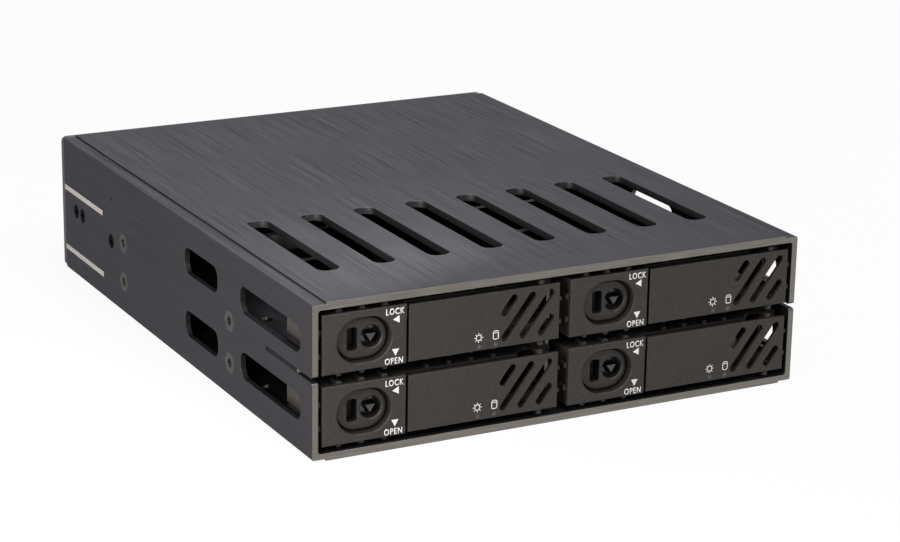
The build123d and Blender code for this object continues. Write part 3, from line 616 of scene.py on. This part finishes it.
def add_lamp(name, place, aim, size, power, color=(1, 1, 1)):
    """A rectangular lamp that the camera doesn't see: metres and watts."""
    data = bpy.data.lights.new(name, "AREA")
    data.shape = "RECTANGLE"
    data.size, data.size_y = size
    data.energy = power
    data.color = color
    lamp = bpy.data.objects.new(name, data)
    lamp.location = place
    direction = Vector(aim) - Vector(place)
    lamp.rotation_euler = direction.to_track_quat("-Z", "Y").to_euler()
    lamp.visible_camera = False
    bpy.context.scene.collection.objects.link(lamp)


def seen_directly(tree):
    """1 where the camera, a mirror or glass looks straight at the surface."""
    path = tree.nodes.new("ShaderNodeLightPath")
    either = tree.nodes.new("ShaderNodeMath")
    either.operation = "MAXIMUM"
    tree.links.new(path.outputs["Is Camera Ray"], either.inputs[0])
    tree.links.new(path.outputs["Is Transmission Ray"], either.inputs[1])
    any_of_three = tree.nodes.new("ShaderNodeMath")
    any_of_three.operation = "MAXIMUM"
    tree.links.new(either.outputs["Value"], any_of_three.inputs[0])
    tree.links.new(path.outputs["Is Glossy Ray"], any_of_three.inputs[1])
    return any_of_three.outputs["Value"]


def add_floor():
    """A white floor that keeps a soft shadow, and can be looked through from below."""
    material = bpy.data.materials.new("floor_white")
    material.use_nodes = True
    tree = material.node_tree
    tree.nodes.clear()
    matt = tree.nodes.new("ShaderNodeBsdfDiffuse")
    matt.inputs["Color"].default_value = rgb(FLOOR_MATT, FLOOR_MATT, FLOOR_MATT)
    glow = tree.nodes.new("ShaderNodeEmission")
    glow.inputs["Strength"].default_value = 1.0
    blend = tree.nodes.new("ShaderNodeMixShader")
    share = tree.nodes.new("ShaderNodeMath")
    share.operation = "MULTIPLY"
    share.inputs[1].default_value = FLOOR_GLOW_SHARE
    tree.links.new(seen_directly(tree), share.inputs[0])
    tree.links.new(share.outputs["Value"], blend.inputs["Fac"])
    tree.links.new(matt.outputs["BSDF"], blend.inputs[1])
    tree.links.new(glow.outputs["Emission"], blend.inputs[2])
    clear = tree.nodes.new("ShaderNodeBsdfTransparent")
    sides = tree.nodes.new("ShaderNodeNewGeometry")
    one_sided = tree.nodes.new("ShaderNodeMixShader")
    tree.links.new(sides.outputs["Backfacing"], one_sided.inputs["Fac"])
    tree.links.new(blend.outputs["Shader"], one_sided.inputs[1])
    tree.links.new(clear.outputs["BSDF"], one_sided.inputs[2])
    output = tree.nodes.new("ShaderNodeOutputMaterial")
    tree.links.new(one_sided.outputs["Shader"], output.inputs["Surface"])
    mesh = bpy.data.meshes.new("floor")
    half = FLOOR_HALF
    corners = [(-half, -half, 0), (half, -half, 0), (half, half, 0), (-half, half, 0)]
    mesh.from_pydata(corners, [], [(0, 1, 2, 3)])
    mesh.materials.append(material)
    floor = bpy.data.objects.new("floor", mesh)
    floor.location.z = cad_box[0].z - FLOOR_GAP
    bpy.context.scene.collection.objects.link(floor)


def add_world():
    world = bpy.data.worlds.new("studio")
    world.use_nodes = True
    tree = world.node_tree
    room = tree.nodes["Background"]
    room.inputs["Color"].default_value = (1, 1, 1, 1)
    room.inputs["Strength"].default_value = ROOM_LIGHT
    white = tree.nodes.new("ShaderNodeBackground")
    white.inputs["Color"].default_value = (1, 1, 1, 1)
    path = tree.nodes.new("ShaderNodeLightPath")
    strength = tree.nodes.new("ShaderNodeMapRange")
    strength.inputs["To Min"].default_value = REFLECTED_WHITE
    strength.inputs["To Max"].default_value = 1.0
    tree.links.new(path.outputs["Is Camera Ray"], strength.inputs["Value"])
    tree.links.new(strength.outputs["Result"], white.inputs["Strength"])
    blend = tree.nodes.new("ShaderNodeMixShader")
    tree.links.new(seen_directly(tree), blend.inputs["Fac"])
    tree.links.new(room.outputs["Background"], blend.inputs[1])
    tree.links.new(white.outputs["Background"], blend.inputs[2])
    tree.links.new(blend.outputs["Shader"], tree.nodes["World Output"].inputs["Surface"])
    bpy.context.scene.world = world


def add_lights():
    """Large soft lamps above, with two small ones that lift the front left corner."""
    middle = (0, 0, 0.02)
    corner = (cad_box[0].x, cad_box[0].y, 0.025)
    top_front = (-0.045, 0.0, 0.04)
    warm = (1.0, 0.95, 0.89)
    faintly_warm = (1.0, 0.97, 0.94)
    cool = (0.96, 0.97, 1.0)
    add_lamp("key", (0.0, -0.4, 1.2), middle, (0.6, 0.6), 6.0)
    add_lamp("front", (0.2, -0.85, 1.05), middle, (0.6, 0.4), 6.0, faintly_warm)
    add_lamp("corner", (-0.20, -0.16, 0.10), corner, (0.08, 0.08), 0.42, warm)
    add_lamp("roof", (-0.03, -0.045, 0.085), top_front, (0.06, 0.06), 0.055)
    add_lamp("rear", (0.3, 1.0, 0.9), middle, (0.9, 0.6), 4.0, cool)


add_camera()
add_world()
add_lights()
add_floor()
dress_cad_nodes()
for row in ROWS:
    for column in COLUMNS:
        add_tray_print(row, column)
        add_button_spring(row, column)

bpy.context.scene.view_settings.view_transform = "Standard"
